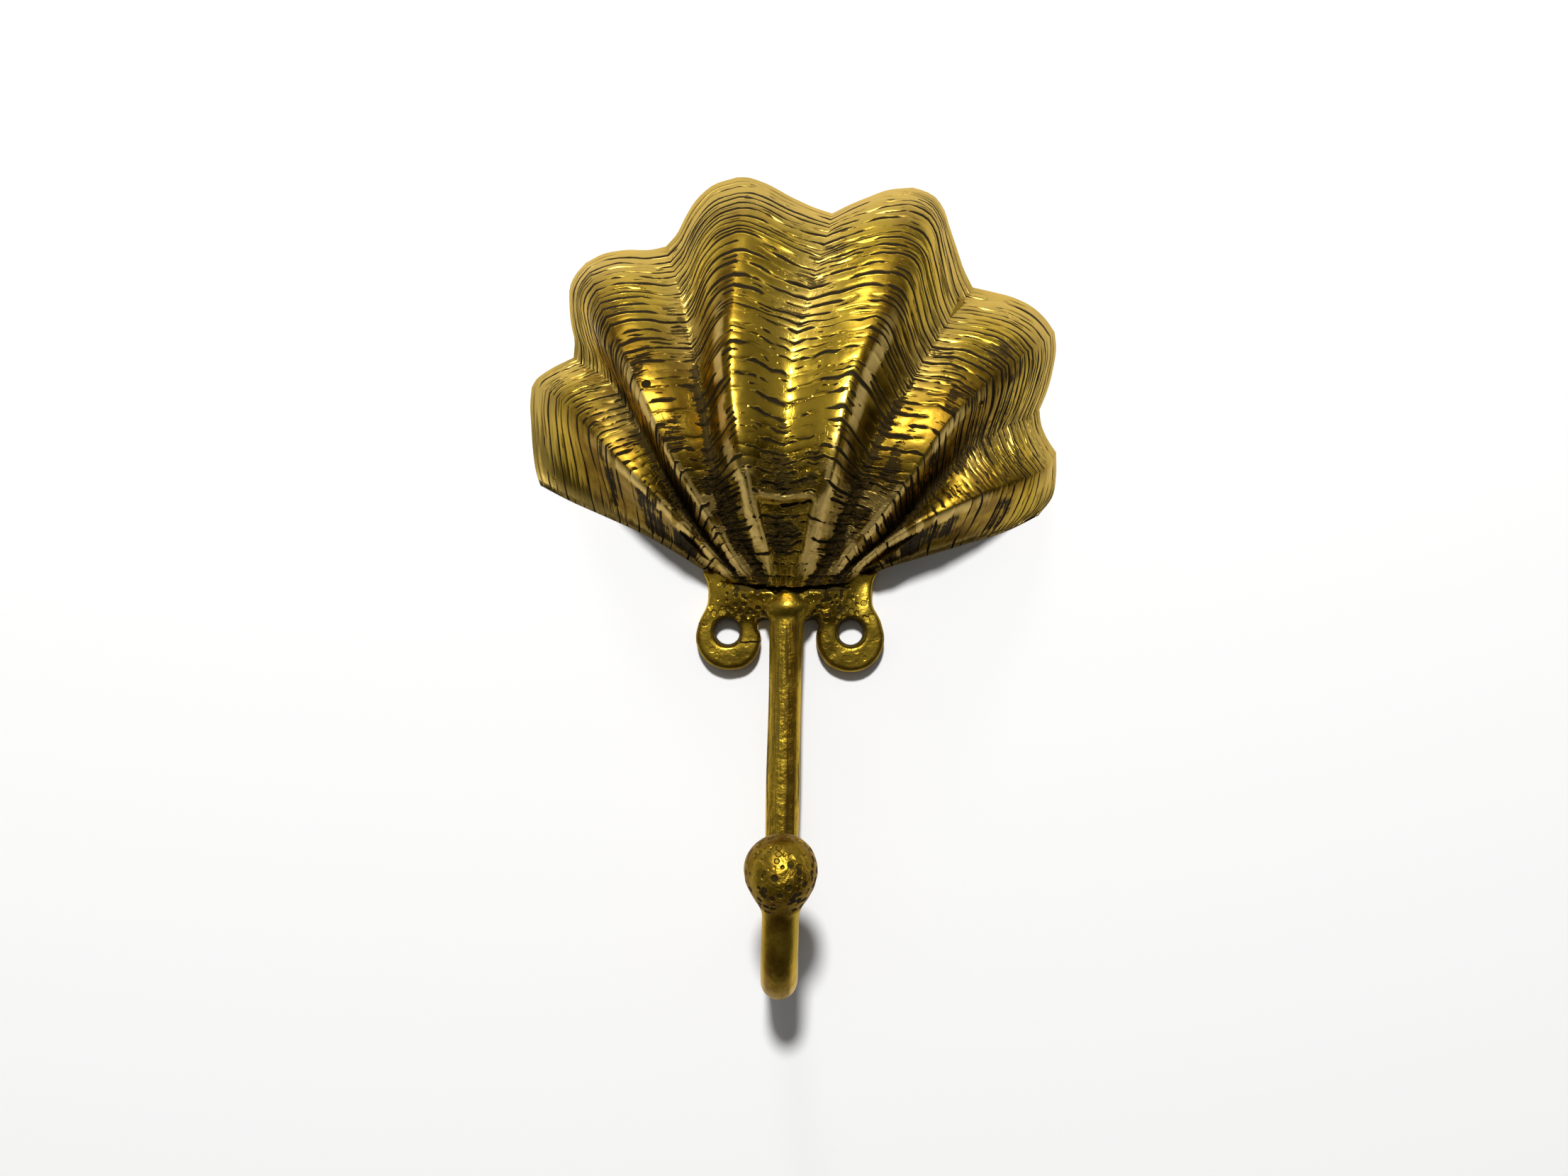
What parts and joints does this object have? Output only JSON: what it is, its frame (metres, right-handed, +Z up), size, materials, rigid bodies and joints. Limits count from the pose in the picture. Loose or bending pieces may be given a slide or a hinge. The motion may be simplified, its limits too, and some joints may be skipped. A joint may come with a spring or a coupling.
{
  "type": "wall hook",
  "caption": "Cast brass wall hook: a hollow fluted scallop over a neck with two screw ears, and a round stem that bends forward and up to a ball end.",
  "frame": {"origin": "on the wall plane, midway between the two screw holes", "axes": "+Z up, +X right as seen from in front, -Y out of the wall towards the viewer"},
  "size_m": [0.1034, 0.0381, 0.1546],
  "materials": {
    "cast_brass": "polished on the crests, with dark patina in the grooves"
  },
  "bodies": {
    "root": {"scallop_hook": "cast_brass"}
  },
  "joints": []
}
